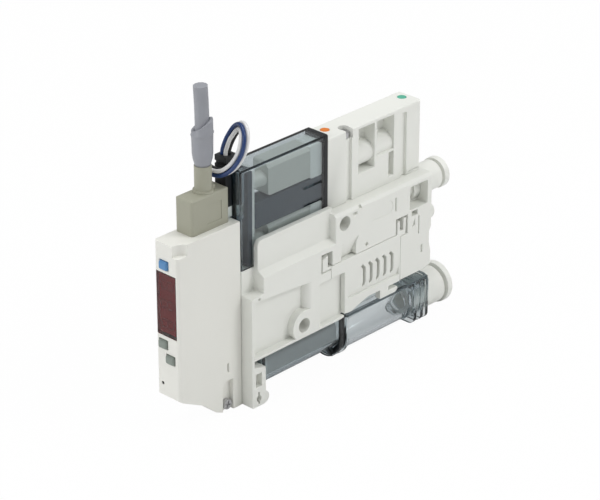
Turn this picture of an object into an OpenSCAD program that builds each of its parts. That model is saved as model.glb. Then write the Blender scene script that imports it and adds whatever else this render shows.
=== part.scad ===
// Compact vacuum ejector: an ejector body with a two-solenoid valve on top,
// a pressure switch in front, a suction filter below and push-in ports behind.
// +X runs to the ports, -Y is the near side and +Z is up. The origin is at the
// bottom centre of the box round the unit, without its free cords.

/* [Body] */
// Thickness of the ejector body, side to side
body_t = 15; // [14.6:0.2:18]
// Length of the ejector body, front face to port face
body_l = 77.4; // [77:0.2:82]
// Height of the body's top face
body_h = 50; // [49.8:0.2:52]
// Depth of the pockets moulded into the near side
pocket_d = 2.4; // [1.6:0.1:2.6]
// Diameter of the two mounting holes
mount_d = 4.5; // [4.3:0.1:5]
// Lower mounting hole: distance from the front face
mount1_x = 21.7; // [21:0.1:22.5]
// Lower mounting hole: height
mount1_z = 19.2; // [19:0.1:19.8]
// Upper mounting hole: distance from the front face
mount2_x = 38.9; // [38.6:0.1:40]
// Upper mounting hole: height
mount2_z = 46.2; // [45.8:0.1:46.4]

/* [Exhaust cover] */
// Number of exhaust slots
slots = 5; // [3:1:5]
// Distance between exhaust slots
slot_pitch = 3.08; // [2.8:0.02:3.1]
// Width of an exhaust slot
slot_w = 1.15; // [0.8:0.05:1.4]
// Height of an exhaust slot
slot_h = 7.4; // [6:0.1:8]
// Thickness of the exhaust cover
cover_t = 2; // [1.6:0.1:2.2]

/* [Valve] */
// Width of the valve block
valve_w = 9; // [8.6:0.1:9.6]
// Length of the valve block
valve_l = 40.4; // [39.6:0.2:42]
// Height of the valve block above the body
valve_h = 22.8; // [22:0.2:25]
// Diameter of the spool bore
spool_d = 5; // [4.6:0.1:5.2]
// Height of the smoky cover's top above the body
hood_h = 24.3; // [24:0.1:26]
// Wall of the smoky cover
hood_wall = 1; // [0.8:0.1:1.2]
// Diameter of the manual override buttons
override_d = 2.8; // [2.4:0.1:3.2]
// Travel of a manual override button
override_travel = 0.8; // [0.5:0.1:1]

/* [Pressure switch] */
// Length of the switch, front to back
switch_l = 24.8; // [24:0.2:27]
// Width of the switch
switch_w = 9.3; // [9:0.1:9.8]
// Height of the switch's top
switch_h = 59.2; // [58.6:0.2:61]
// Wall of the switch case
switch_wall = 1.2; // [1:0.1:1.4]
// Width of the display window
display_w = 7.9; // [7.6:0.1:8]
// Height of the display window
display_h = 19.9; // [18:0.1:20.5]
// Width of a push button
key_w = 3.3; // [3:0.1:3.5]
// Height of a push button
key_h = 2.7; // [2.5:0.1:2.9]
// How far a push button stands out of the switch's face
key_out = 0.8; // [0.5:0.1:1]
// Travel of a push button
key_travel = 0.4; // [0.2:0.1:0.6]

/* [Filter] */
// Wall of the clear filter case
case_wall = 1.1; // [0.9:0.1:1.4]
// Depth of the filter case below the body's lower edge
case_drop = 10.6; // [10:0.1:11]
// Height of the filter element
filter_d = 7; // [6:0.2:7.4]
// Width of the filter element
filter_w = 9; // [8:0.2:9.4]
// Bore of the filter element
filter_bore = 3.6; // [3:0.2:4]
// Radius of the clear vacuum housing
housing_r = 6.6; // [6.4:0.1:6.8]

/* [Ports] */
// Tube diameter of the supply port
supply_tube = 6; // [5.8:0.1:6.2]
// Tube diameter of the vacuum port
vacuum_tube = 8; // [7.8:0.1:8.2]
// Travel of a release collar
collar_travel = 0.8; // [0.5:0.1:1]

/* [Cords] */
// Diameter of the sensor cable
cable_d = 4.2; // [3.8:0.1:4.4]
// Diameter of a lead wire
lead_d = 1.2; // [1:0.05:1.3]

/* [Hidden] */
$fn = 48;
gap = 0.1;              // clearance between moulded pieces that stay still
run = 0.05;             // radial clearance of a running fit
mid_y = body_t / 2;     // centre plane of the body

// Valve and switch stand between these two planes
valve_y = 4.2;
valve_far = valve_y + valve_w;
switch_far = valve_y + switch_w;
valve_x = 35.8;         // front face of the valve block
valve_end = valve_x + valve_l;
valve_top = body_h + valve_h;
spool_z = body_h + 12.1;
hood_top = body_h + hood_h;

// Ejector body
sill_z = 15.2;          // lower edge of the body, over the filter case
nose_h = body_h - 14.6; // top of the body's front corner
ledge_z = body_h - 9.1; // outer edge of the sloped ledge
deck_z = body_h - 7;    // floor of the channel that the hood stands in
plate_x = 4.9;          // front edge of the side plates
plate_h = body_h + 1.6;
block_x = 34.9;         // front of the full-height part of the body
foot_l = 5.5;           // length of the front foot
boss_r = mount_d / 2 + 2.5;
jet_z = 26.4;           // axis of the nozzle and diffuser
jet_d = 5;
jet_x = 10;             // blind end of the ejector bore
duct_d = 2.8;           // air passages between the body and the valve block
duct_y = mid_y + 1;
pilot_duct_x = 43.2;
supply_duct_x = 60;
suction_x = 30;         // passage from the filter up to the jet
valve_seat_z = sill_z + 4;
valve_seat_d = 2;
stub_z = 22;            // pressure tapping between the body and the switch
clip_x = body_l - 6.6;

// Exhaust cover and silencer
cover_x = 39;
cover_end = 63.4;
cover_top = 34.3;
slot_x = 46.9;
slot_z = 22.3;
muffler_x = 45;
muffler_end = 62.6;
muffler_z = 21;
muffler_top = 31.6;
muffler_far = 12.2;

// Filter case, seal and clear vacuum housing
case_x = foot_l + gap;
case_end = 39.4;
case_z = sill_z - case_drop;
case_side = 6.1;        // half width of the filter case
seal_t = 1.2;
trough_step = 0.4;      // step in the housing's wall, along the middle of its side
socket_wall = 8;        // length of the solid end that holds the port
housing_x = case_end + seal_t;
housing_end = body_l + 0.4;
housing_top = sill_z - gap;
filter_z = 9.7;
filter_x = 8.4;
filter_end = case_end - 1.6;

// Ports: axis heights and lengths behind the body
supply_z = body_h - 5.7;
vacuum_z = housing_r;
pilot_z = supply_z - 11.7;
hex_w = 6.6;            // width over corners of the pilot plug's hexagon
supply_out = 8.2;
vacuum_out = 8.6;
collar_t = 2.1;         // thickness of a release collar's rim
collar_gap = collar_travel + 0.1;
socket_l = 13.2;        // depth of the supply port's socket
ports_end = max(body_l + supply_out, housing_end + vacuum_out) + collar_gap + collar_t;

// The unit's frame
frame_x = (ports_end - switch_l - key_out) / 2;

module slab(y0, y1) {
    translate([0, y1, 0]) rotate([90, 0, 0]) linear_extrude(y1 - y0) children();
}

module beam(x0, x1) {
    translate([x0, 0, 0]) rotate([90, 0, 90]) linear_extrude(x1 - x0) children();
}

module block(from, to) {
    translate(from) cube(to - from);
}

module rod_x(d, x0, x1, y, z) {
    translate([x0, y, z]) rotate([0, 90, 0]) cylinder(d = d, h = x1 - x0);
}

module rod_y(d, y0, y1, x, z) {
    translate([x, y0, z]) rotate([-90, 0, 0]) cylinder(d = d, h = y1 - y0);
}

module rod_z(d, z0, z1, x, y) {
    translate([x, y, z0]) cylinder(d = d, h = z1 - z0);
}

// A rectangle from one corner to the other, with four round corners
module soft_rect(from, to, r) {
    translate([from.x + r, from.y]) square([to.x - from.x - 2 * r, to.y - from.y]);
    translate([from.x, from.y + r]) square([to.x - from.x, to.y - from.y - 2 * r]);
    for (x = [from.x + r, to.x - r], y = [from.y + r, to.y - r])
        translate([x, y]) circle(r);
}

module unit() {
    translate([-frame_x, -mid_y, 0]) children();
}

// ---- Ejector body ----

// Near side of the body, from the foot round to the nose
module body_side() {
    polygon([
        [0, 0], [foot_l - 0.4, 0], [foot_l, 4.4], [foot_l, 12.2], [1.1, 13.1], [1.1, sill_z],
        [37, sill_z], [42, 16], [44.3, 16.9], [49.3, 18.6], [73.8, 18.6], [body_l, 19.3],
        [body_l, 24], [body_l - 0.8, 26.9], [body_l - 0.8, 30.5], [body_l, 32], [body_l, body_h],
        [block_x, body_h], [block_x, ledge_z], [plate_x, ledge_z], [plate_x, nose_h + 0.5],
        [0, nose_h]
    ]);
}

// Step up from the ledge to the side plate, with its sloped top
module sloped_ledge() {
    beam(plate_x, block_x + gap)
        polygon([[0, ledge_z - 1], [0, ledge_z], [pocket_d, ledge_z + 1.4], [pocket_d, ledge_z - 1]]);
}

// Plate beside the hood, with a rounded front corner
module side_plate(y0, y1) {
    slab(y0, y1) {
        translate([plate_x, ledge_z - 1]) square([2, plate_h - ledge_z - 1]);
        translate([plate_x + 2, ledge_z - 1]) square([block_x + 1 - plate_x - 2, plate_h - ledge_z + 1]);
        translate([plate_x + 2, plate_h - 2]) circle(2);
    }
}

// Panel pocket round the lower mounting hole, closed by a half-round column
module panel_pocket() {
    difference() {
        slab(-1, pocket_d)
            polygon([[1.2, sill_z + 0.8], [mount1_x + 3.4, sill_z + 0.8], [mount1_x + 3.4, 32.4],
                     [plate_x, 34], [1.2, 34]]);
        rod_y(2 * boss_r, -1, pocket_d, mount1_x, mount1_z);
        slab(-1, pocket_d) translate([mount1_x, sill_z]) square([5, mount1_z - sill_z + boss_r]);
    }
}

// Scooped pocket beside the round boss above the exhaust cover
module scoop() {
    difference() {
        beam(37.4, 47.6)
            polygon([[-1, cover_top - 0.9], [pocket_d, cover_top - 0.9], [0, 40.6], [-1, 40.6]]);
        rod_y(12, -2, pocket_d + 1, 49.6, 36.6);
    }
}

module mount_bores() {
    rod_y(mount_d, -1, body_t + 1, mount1_x, mount1_z);
    rod_y(mount_d, -1, body_t + 1, mount2_x, mount2_z);
}

// Slits, slots and small recesses of the near side
module side_slots() {
    slab(-1, 0.9) {
        translate([3.1, 34.7]) circle(0.45);
        translate([48.4, 36.2]) circle(0.65);
        translate([60.9, body_h - 7.6]) square([0.5, 4.5]);
        translate([1.7, 19.2]) square([0.4, 3.7]);
        translate([71.5, 31.5]) square([0.35, 6]);
        translate([72.8, 24.6]) square([0.7, 2.5]);
        polygon([[68.7, 34.6], [70, 34.9], [69.9, 37.4]]);
        translate([42.4, body_h - 2.6]) square([1.7, 1]);
        translate([44.9, body_h - 1.3]) square([1.2, 1]);
    }
    slab(-1, 2) {
        translate([68.4, supply_z - 6.1]) square([2.6, 1.6]);
        soft_rect([1.4, 6.4], [3.9, 10.8], 0.3);
    }
    slab(-1, 3) {
        translate([2.7, 2.5]) circle(1);
        translate([2.3, 0.7]) square([0.8, 3.8]);
    }
}

// Plain oval recess in the near side
module oval_recess() {
    slab(-1, 0.15) soft_rect([50, body_h - 7.2], [59.8, body_h - 3], 2);
}

// Window that shows the supply fitting and its clip
module clip_window() {
    slab(-1, mid_y - 3.4) soft_rect([67.4, supply_z - 3.8], [75.4, supply_z + 3.9], 0.5);
}

// Opening that the exhaust cover and its two latches sit in
module cover_seat() {
    slab(-1, cover_t + gap) {
        translate([cover_x - gap, 14]) square([cover_end - cover_x + 2 * gap, cover_top - 14 + gap]);
        translate([33.1, 30.1]) square([7, cover_top - 30.1 + gap]);
    }
    latch_slots();
    block([muffler_x, cover_t, muffler_z], [muffler_end + gap, muffler_far, muffler_top + gap]);
}

module latch_slots() {
    slab(-1, 3.2) {
        translate([29, 33.2]) square([4.6, 6]);
        translate([61.4, cover_top - 1]) square([5.2, 6.2]);
    }
}

// Bores along X for the nozzle, the supply fitting and the pilot plug
module port_bores() {
    rod_x(jet_d, jet_x, muffler_x + 1, mid_y, jet_z);
    rod_x(supply_tube + 3.3, body_l - socket_l, body_l + 1, mid_y, supply_z);
    rod_x(duct_d, supply_duct_x, body_l, mid_y, supply_z);
    rod_z(duct_d, supply_z, body_h + 1, supply_duct_x, duct_y);
    rod_x(4.6, body_l - 6, body_l + 1, mid_y, pilot_z);
    rod_z(duct_d, jet_z, body_h + 1, pilot_duct_x, duct_y);
    rod_z(valve_seat_d, sill_z - 1, valve_seat_z + 1, suction_x, mid_y);
    rod_z(3, valve_seat_z, jet_z, suction_x, mid_y);
    rod_x(3 + 2 * gap, -1, 3, mid_y, stub_z);
    rod_z(2, stub_z, jet_z, 2, mid_y);
    // grooves for the seals under the valve block
    for (x = [pilot_duct_x, supply_duct_x])
        translate([x, duct_y, body_h - 0.8]) difference() {
            cylinder(d = duct_d + 4, h = 2);
            translate([0, 0, -1]) cylinder(d = duct_d + 1.2, h = 4);
        }
    block([clip_x, mid_y - 3.3 - gap, supply_z - 4.5], [clip_x + 1.8, mid_y + 3.3 + gap, supply_z]);
}

// Near pocket left of the exhaust cover, under the cover's band
module left_pocket() {
    slab(-1, 1.8) translate([mount1_x + 6.6, sill_z + 0.9]) square([cover_x - mount1_x - 6.6 + 1, 14]);
}

// Half-round column and its domed head beside the lower mounting hole
module column() {
    x = mount1_x + 3.4;
    intersection() {
        union() {
            rod_z(5, mount1_z + 2, ledge_z - 5.4, x, 2.5);
            translate([x, 2.5, ledge_z - 5.4]) sphere(d = 5);
        }
        block([x - 4, 0, 0], [x + 4, pocket_d + 1, body_h]);
    }
}

module ejector_body() {
    color("gainsboro") difference() {
        union() {
            slab(0, body_t) body_side();
            sloped_ledge();
            side_plate(pocket_d, valve_y - gap);
            side_plate(valve_far + gap, body_t);
            slab(valve_y - gap, body_t)
                translate([0, nose_h - 1]) square([block_x + 1, deck_z - nose_h + 1]);
            slab(0, 3) translate([foot_l - 0.7, 2.1]) circle(2);
        }
        difference() {
            panel_pocket();
            column();
        }
        left_pocket();
        scoop();
        mount_bores();
        side_slots();
        oval_recess();
        clip_window();
        cover_seat();
        port_bores();
        // long chamfer on the near top edge
        beam(block_x - 1, body_l + 1)
            polygon([[-1, body_h - 0.9], [0, body_h - 0.9], [0.9, body_h], [0.9, body_h + 1], [-1, body_h + 1]]);
    }
}

// ---- Exhaust cover and silencer ----

module slot_shape() {
    polygon([[0.5, 0], [slot_w, 0.7], [slot_w, slot_h - 1], [-0.1, slot_h + 0.3], [-0.8, slot_h - 0.2],
             [0, slot_h - 1.2], [0, 0.4]]);
}

module exhaust_cover() {
    color("whitesmoke") difference() {
        union() {
            slab(0, cover_t) {
                polygon([
                    [cover_x, 16.4], [42, 16.1], [44.3, 17], [49.3, 18.4], [54.6, 18.4], [54.6, 15.4],
                    [61.6, 15.4], [62.4, 16.2], [62.4, 17.1], [58.4, 17.1], [58.4, 18.4],
                    [cover_end, 18.4], [cover_end, cover_top], [33.2, cover_top], [33.2, 30.2],
                    [cover_x, 30.2]
                ]);
            }
            // snap tabs that reach up into the body
            block([29.6, 0.2, 33.4], [33.2 + gap, 1.6, cover_top]);
            slab(0.2, 1.6) polygon([[29.6, 33.4], [31.9, 33.4], [31.9, 38.4], [29.6, 37.4]]);
            slab(0, 1.6) polygon([[62, cover_top - 0.5], [63.2, cover_top - 0.5], [63.2, 38.6], [62, 38.2]]);
            slab(0, 1.6) polygon([[64.6, cover_top - 0.5], [65.6, cover_top - 0.5], [65.9, 38.9], [64.6, 38.9]]);
            block([63, 0, cover_top - 0.8], [65.6, 1.6, cover_top + 0.9]);
        }
        // louvre slots, over a face that slopes in towards the lower lip
        for (i = [0 : slots - 1])
            slab(-1, cover_t + 1) translate([slot_x + i * slot_pitch, slot_z]) slot_shape();
        beam(cover_x + 1.6, cover_end - 0.6) polygon([[-1, 24], [0, 24], [0.8, 20.9], [-1, 20.9]]);
    }
}

module silencer() {
    color("silver")
        block([muffler_x + gap, cover_t + 2 * gap, muffler_z + gap], [muffler_end, muffler_far - gap, muffler_top]);
}

// ---- Ejector jet ----

module nozzle() {
    color("goldenrod") difference() {
        union() {
            rod_x(jet_d - 2 * gap, 12, 24, mid_y, jet_z);
            rod_x(3.6, 24, 27, mid_y, jet_z);
        }
        rod_x(2.4, 11, 23, mid_y, jet_z);
        rod_x(1, 20, 28, mid_y, jet_z);
        // annular groove that feeds supply air
        difference() {
            rod_x(jet_d + 1, 15, 17, mid_y, jet_z);
            rod_x(3.4, 14, 18, mid_y, jet_z);
        }
    }
}

module diffuser() {
    color("goldenrod") difference() {
        rod_x(jet_d - 2 * gap, 31.5, muffler_x, mid_y, jet_z);
        rod_x(1.6, 31, muffler_x + 1, mid_y, jet_z);
        rod_x(3, 31, 33.5, mid_y, jet_z);
        rod_x(2.6, 42, muffler_x + 1, mid_y, jet_z);
    }
}

module check_valve() {
    color("dimgray") rod_z(2.8, valve_seat_z, valve_seat_z + 0.8, suction_x, mid_y);
}

// ---- Valve ----

spool_y = valve_y + valve_w / 2;
override_y = valve_y + 5.4;
override1_x = valve_x + 4.4;
override2_x = valve_end - 2.5;
needle_x = valve_x + 9.2;
needle_y = valve_y + 2.4;
needle_z = valve_top - 1.2;
needle_d = 3.4;
mid_wall_x = valve_x + 19.9;    // front of the wall between the two spool bores
mid_wall_t = 1.4;
spool_stroke = 1.2;
release_x = mid_wall_x + mid_wall_t + 0.2;
land_l = 2.4;           // length of a spool's land
end_plug_l = 3;
roof = 1.2;             // wall above the pockets of the valve block
window1_z = body_h + 7.4;
window2_z = body_h + 10.6;

module valve_pockets() {
    difference() {
        slab(0, spool_y) {
            translate([valve_x + 13.2, window1_z]) square([6.9, valve_top - roof - window1_z]);
            translate([valve_x + 21.2, window2_z]) square([7.4, valve_top - roof - window2_z]);
        }
        rod_x(spool_d + 2.8, valve_x + 12, valve_x + 30, spool_y, spool_z);
    }
    slab(0, valve_y + 2.6) translate([valve_x + 26.5, body_h + 2.2]) square([2.1, 7.7]);
    slab(0, valve_y + 0.9) {
        translate([needle_x - 1.1, body_h - 1]) square([2.2, valve_h + 2]);
        translate([valve_x + 32, body_h - 1]) square([2.2, valve_h - 1]);
    }
    slab(0, valve_y + 0.5) translate([valve_x + 34.6, body_h + 0.8]) square([6.6, 0.3]);
    // notch that shows the head of the needle screw
    block([needle_x - 1.5, 0, needle_z - 1.8], [needle_x + 1.5, needle_y, valve_top + 1]);
}

module valve_body() {
    color("whitesmoke") difference() {
        intersection() {
            block([valve_x, valve_y, body_h], [valve_end, valve_far, valve_top]);
            beam(valve_x - 1, valve_end + 1) soft_rect([valve_y, body_h - 2], [valve_far, valve_top], 0.5);
            translate([0, 0, body_h - 1]) linear_extrude(valve_h + 2)
                soft_rect([valve_x - 2, valve_y], [valve_end, valve_far], 0.5);
        }
        valve_pockets();
        rod_x(spool_d, valve_x - 1, mid_wall_x, spool_y, spool_z);
        rod_x(spool_d, mid_wall_x + mid_wall_t, valve_end + 1, spool_y, spool_z);
        for (x = [override1_x, override2_x])
            rod_z(override_d + 2 * run, valve_top - 4.6, valve_top + 1, x, override_y);
        rod_z(needle_d + 2 * run, valve_top - 3, valve_top + 1, needle_x, needle_y);
        rod_z(1.6 + 2 * run, valve_top - 8, valve_top, needle_x, needle_y);
        // passages down to the ejector body
        for (x = [pilot_duct_x, supply_duct_x])
            rod_z(duct_d, body_h - 1, spool_z, x, duct_y);
    }
}

// Spool with lands that run in its bore; x0 is its front end
module spool(x0, len) {
    land = spool_d - 2 * run;
    rod_x(spool_d - 2, x0, x0 + len, spool_y, spool_z);
    for (x = [x0, x0 + (len - land_l) / 2, x0 + len - land_l])
        rod_x(land, x, x + land_l, spool_y, spool_z);
}

module supply_spool() {
    color("silver") spool(valve_x + 2.2, mid_wall_x - valve_x - 2.4 - spool_stroke);
}

module release_spool() {
    color("silver") 
        spool(release_x, valve_end - end_plug_l - release_x - 0.2 - spool_stroke);
}

module end_plug() {
    color("whitesmoke") rod_x(spool_d - 2 * run, valve_end - end_plug_l, valve_end, spool_y, spool_z);
}

module override_button(x) {
    rod_z(override_d, valve_top - 4.5 + override_travel, valve_top, x, override_y);
}

module supply_override() {
    color("darkorange") override_button(override1_x);
}

module release_override() {
    color("mediumaquamarine") override_button(override2_x);
}

module needle_screw() {
    color("silver") difference() {
        union() {
            rod_z(needle_d, needle_z - 1.6, needle_z, needle_x, needle_y);
            rod_z(1.6, needle_z - 6.4, needle_z - 1.6, needle_x, needle_y);
        }
        translate([needle_x, needle_y, needle_z]) rotate([0, 0, 25])
            cube([needle_d + 1, 0.5, 1.2], center = true);
    }
}

// Rubber seal rings between the valve block and the body
module port_seals() {
    color("dimgray") for (x = [pilot_duct_x, supply_duct_x])
        translate([x, duct_y, body_h - 0.4]) rotate_extrude()
            translate([duct_d / 2 + 1.3, 0]) circle(d = 0.78);
}

// ---- Hood, solenoids and their connections ----

hood_end = valve_x - 1.6;
hood_y = valve_y;
hood_far = valve_far - 0.9;
coil_x = 12;
coil_end = 29.3;
coil_y = hood_y + hood_wall + 0.3;
coil_far = hood_far - hood_wall - 0.3;
coil1_z = body_h + 12.7;
coil2_z = deck_z + 1.2;
coil_h = 9.6;
yoke_end = hood_end - 0.1;
carrier_x = 5.6;
tube_d = 4.6;           // armature tube of a solenoid
bridge_z = (coil1_z + coil2_z + coil_h) / 2;
plug_x = -16.9;         // the switch's cable plug, front and rear
plug_end = -2.3;
connector_l = 4.7;
connector_w = 4.4;
connector_x = plug_end + 0.2;
connector_end = connector_x + connector_l;
connector_far = hood_far - gap;
connector_y = connector_far - connector_w;
connector_top = body_h + 28.1;
terminal_z = switch_h + gap;
terminal_top = terminal_z + 3.4;
lead_pitch = lead_d + 0.15;
bay_x = connector_end + gap;

module hood() {
    color([0.25, 0.3, 0.33, 0.6]) difference() {
        intersection() {
            block([0, hood_y, deck_z + gap], [hood_end, hood_far, hood_top]);
            slab(hood_y - 1, hood_far + 1) soft_rect([0, deck_z - 4], [hood_end + 4, hood_top], 0.8);
            beam(-1, hood_end + 1) soft_rect([hood_y, deck_z - 4], [hood_far, hood_top], 0.6);
        }
        // inside, and the bay in the front that the connector stands in
        block([bay_x + hood_wall, hood_y + hood_wall, deck_z],
              [hood_end + 1, hood_far - hood_wall, hood_top - hood_wall]);
        block([hood_wall, hood_y + hood_wall, deck_z],
              [bay_x + 2, hood_far - hood_wall, switch_h - hood_wall]);
        block([hood_wall, hood_y + hood_wall, deck_z],
              [bay_x + 2, connector_y - gap - hood_wall, hood_top - hood_wall]);
        block([-1, connector_y - gap, switch_h], [bay_x, hood_far + 1, hood_top + 1]);
        // slits on both sides of the snap tongue
        for (z = [body_h + 4.6, body_h + 10.1])
            block([26, hood_y - 1, z], [hood_end - 0.8, hood_y + hood_wall + gap, z + 0.5]);
        // slot for the terminal block
        block([bay_x - 1, connector_y + gap, terminal_z - gap],
              [bay_x + hood_wall + 1, connector_far - gap, terminal_top + gap]);
    }
}

// Black frame between the hood and the valve block
module adapter_frame() {
    color("dimgray") difference() {
        intersection() {
            block([hood_end, hood_y, deck_z + gap], [valve_x, hood_far, hood_top]);
            beam(hood_end - 1, valve_x + 1) soft_rect([hood_y, deck_z - 4], [hood_far, hood_top], 0.6);
        }
        // the body's full-height part stands in front of its foot
        block([block_x - gap, 0, 0], [valve_x + 1, body_t, body_h]);
        for (z = [coil1_z, coil2_z])
            rod_x(4, hood_end - 1, valve_x + 1, spool_y - 0.4, z + coil_h / 2);
    }
}

// One solenoid: wound body with bevelled top, and its armature tube in front
module solenoid(z) {
    difference() {
        slab(coil_y, coil_far) soft_rect([coil_x, z], [coil_end, z + coil_h], 0.8);
        beam(coil_x - 1, coil_end + 1)
            polygon([[coil_y - 1, z + coil_h - 1.2], [coil_y, z + coil_h - 1.2], [coil_y + 1.2, z + coil_h],
                     [coil_y + 1.2, z + coil_h + 1], [coil_y - 1, z + coil_h + 1]]);
    }
    rod_x(tube_d, carrier_x + 1, coil_x + 1, (coil_y + coil_far) / 2, z + coil_h / 2);
}

module supply_solenoid() {
    color("darkgray") solenoid(coil1_z);
}

module release_solenoid() {
    color("darkgray") solenoid(coil2_z);
}

module pilot_valve(z) {
    slab(coil_y, coil_far) soft_rect([coil_end, z - 0.6], [yoke_end, z + coil_h], 0.6);
}

module supply_pilot() {
    color("lightgray") pilot_valve(coil1_z);
}

module release_pilot() {
    color("lightgray") pilot_valve(coil2_z);
}

// Upright that carries the contacts and joins both armature tubes
module contact_carrier() {
    color("lightgray") difference() {
        union() {
            block([carrier_x, coil_y, deck_z + gap], [carrier_x + 1, coil_far, hood_top - hood_wall - 0.8]);
            block([connector_x + 0.2, connector_y + 0.2, terminal_z],
                  [carrier_x, hood_far - hood_wall - gap, terminal_top]);
        }
        block([carrier_x - 1, coil_y + 1, bridge_z - 2.4], [carrier_x + 2, connector_y - 0.2, bridge_z + 2.4]);
    }
}

// Dark moulding between the solenoids, with its upright in front of the carrier
module coil_frame() {
    color([0.14, 0.14, 0.15]) difference() {
        union() {
            block([bay_x + hood_wall + gap, coil_y, deck_z + 2 * gap],
                  [carrier_x - gap, coil_far, hood_top - hood_wall - 0.8]);
            block([carrier_x + 1 + gap, coil_y, coil2_z + coil_h + gap], [yoke_end, coil_far, coil1_z - 0.7]);
            block([carrier_x - 1, coil_y + 1 + gap, bridge_z - 2.3], [carrier_x + 2, connector_y - 0.3, bridge_z + 2.3]);
        }
        block([0, connector_y + gap, terminal_z - gap], [carrier_x, coil_far + 1, terminal_top + gap]);
    }
}

// The four leads stand in a square, two by two
function lead_u(i) = (floor(i / 2) - 0.5) * lead_pitch;
function lead_v(i) = (i % 2 - 0.5) * lead_pitch;
function lead_x(i) = connector_x + connector_l / 2 - lead_v(i);
function lead_y(i) = connector_y + connector_w / 2 + lead_u(i);

module terminal_pins() {
    color("gold") for (i = [0 : 3])
        rod_z(0.6, terminal_top, terminal_top + 4.4, lead_x(i), lead_y(i));
}

module valve_connector() {
    color([0.14, 0.14, 0.15]) difference() {
        block([connector_x, connector_y, terminal_top], [connector_end, connector_far, connector_top]);
        for (i = [0 : 3]) {
            rod_z(0.8, terminal_top - 1, terminal_top + 4.6, lead_x(i), lead_y(i));
            rod_z(lead_d + 0.06, connector_top - 2, connector_top + 1, lead_x(i), lead_y(i));
        }
        // finger grooves across the front face, and the latch step
        for (z = [connector_top - 2.6, connector_top - 4.6])
            block([connector_x - 1, connector_y - 1, z], [connector_x + 0.5, connector_far + 1, z + 0.8]);
        block([connector_x - 1, connector_y - 1, terminal_top - 1],
              [connector_x + 0.5, connector_far + 1, terminal_top + 6]);
    }
}

// ---- Cords ----

// Point at t along a smooth curve through the route's points
function curve_at(p, t) =
    let (n = len(p) - 1, i = min(floor(t), n - 1), u = t - i,
         a = p[max(i - 1, 0)], b = p[i], c = p[i + 1], d = p[min(i + 2, n)])
    0.5 * (2 * b + (c - a) * u + (2 * a - 5 * b + 4 * c - d) * u * u + (3 * b - a - 3 * c + d) * u * u * u);

function unit_of(v) = v / norm(v);

// Closed round tube along a route; u and v set it beside the route, as one lead of a bundle
module cord(route, d, rings, sides, u = 0, v = 0) {
    n = len(route) - 1;
    p = [for (k = [0 : rings - 1]) curve_at(route, k * n / (rings - 1))];
    tangent = [for (k = [0 : rings - 1]) unit_of(p[min(k + 1, rings - 1)] - p[max(k - 1, 0)])];
    side = [for (t = tangent) unit_of(cross(t, [1, 0, 0]))];
    points = [for (k = [0 : rings - 1], s = [0 : sides - 1])
        let (q = 360 * s / sides, up = cross(tangent[k], side[k]))
        p[k] + (u + d / 2 * cos(q)) * side[k] + (v + d / 2 * sin(q)) * up];
    walls = [for (k = [0 : rings - 2], s = [0 : sides - 1])
        let (s1 = (s + 1) % sides)
        [k * sides + s, k * sides + s1, (k + 1) * sides + s1, (k + 1) * sides + s]];
    polyhedron(points, concat([[for (s = [sides - 1 : -1 : 0]) s]], walls,
                              [[for (s = [0 : sides - 1]) (rings - 1) * sides + s]]), convexity = 4);
}

// Centre line of the leads' bow: up out of the connector, over, and back down behind the cable
LEAD_ROUTE = [[0.25, 10, 77.2], [0.25, 10, 79.2], [0.9, 9.6, 81.6], [2, 9.4, 83.3], [2.9, 8.5, 85.4],
              [2.8, 6.8, 86.8], [2, 4.8, 87], [0.6, 2.9, 85.4], [-0.4, 2.5, 82.4], [-0.8, 3.7, 79.1],
              [-2.2, 5, 76.4], [-3.8, 7.1, 74.6], [-4.3, 10, 74], [-4.3, 13, 74.3]];

module lead(i) {
    cord(LEAD_ROUTE, lead_d, 18, 8, lead_u(i), lead_v(i));
}

module lead_white() { color("white") lead(1); }
module lead_blue() { color("royalblue") lead(3); }
module lead_black() { color([0.2, 0.2, 0.2]) lead(0); }
module lead_white_2() { color("white") lead(2); }

// ---- Pressure switch ----

face_x = -switch_l;
display_y = valve_y + 0.9;
display_z = switch_h - 29.1;
// centres of the push buttons, Y and Z
KEYS = [[9.7, switch_h - 6.8], [10.6, switch_h - 31.9], [7.8, switch_h - 36.1]];
board_z = 13;
board_top = switch_h - 5.2;
hollow_top = switch_h - 4.8;
board_x = face_x + 5.2;
screw_x = -5.6;
screw_z = 2.2;
plug_y = valve_y + 2.1;
plug_far = switch_far - 0.5;
plug_top = switch_h + 10.8;
cable_x = -9.1;
cable_y = (plug_y + plug_far) / 2;
boot_d = cable_d + 0.8;
boot_top = plug_top + 8;
sleeve_top = boot_top + 12.4;
cable_top = boot_top + 23.8;

module switch_outline() {
    polygon([[face_x, 10.8], [face_x + 1.2, 10], [face_x + 9.6, 5.8], [face_x + 14, 1.8], [face_x + 18, 0],
             [-gap, 0], [-gap, switch_h], [face_x, switch_h]]);
}

module key_holes() {
    for (k = KEYS)
        block([face_x - 1, k.x - key_w / 2 - gap, k.y - key_h / 2 - gap],
              [face_x + switch_wall + 1, k.x + key_w / 2 + gap, k.y + key_h / 2 + gap]);
}

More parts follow.
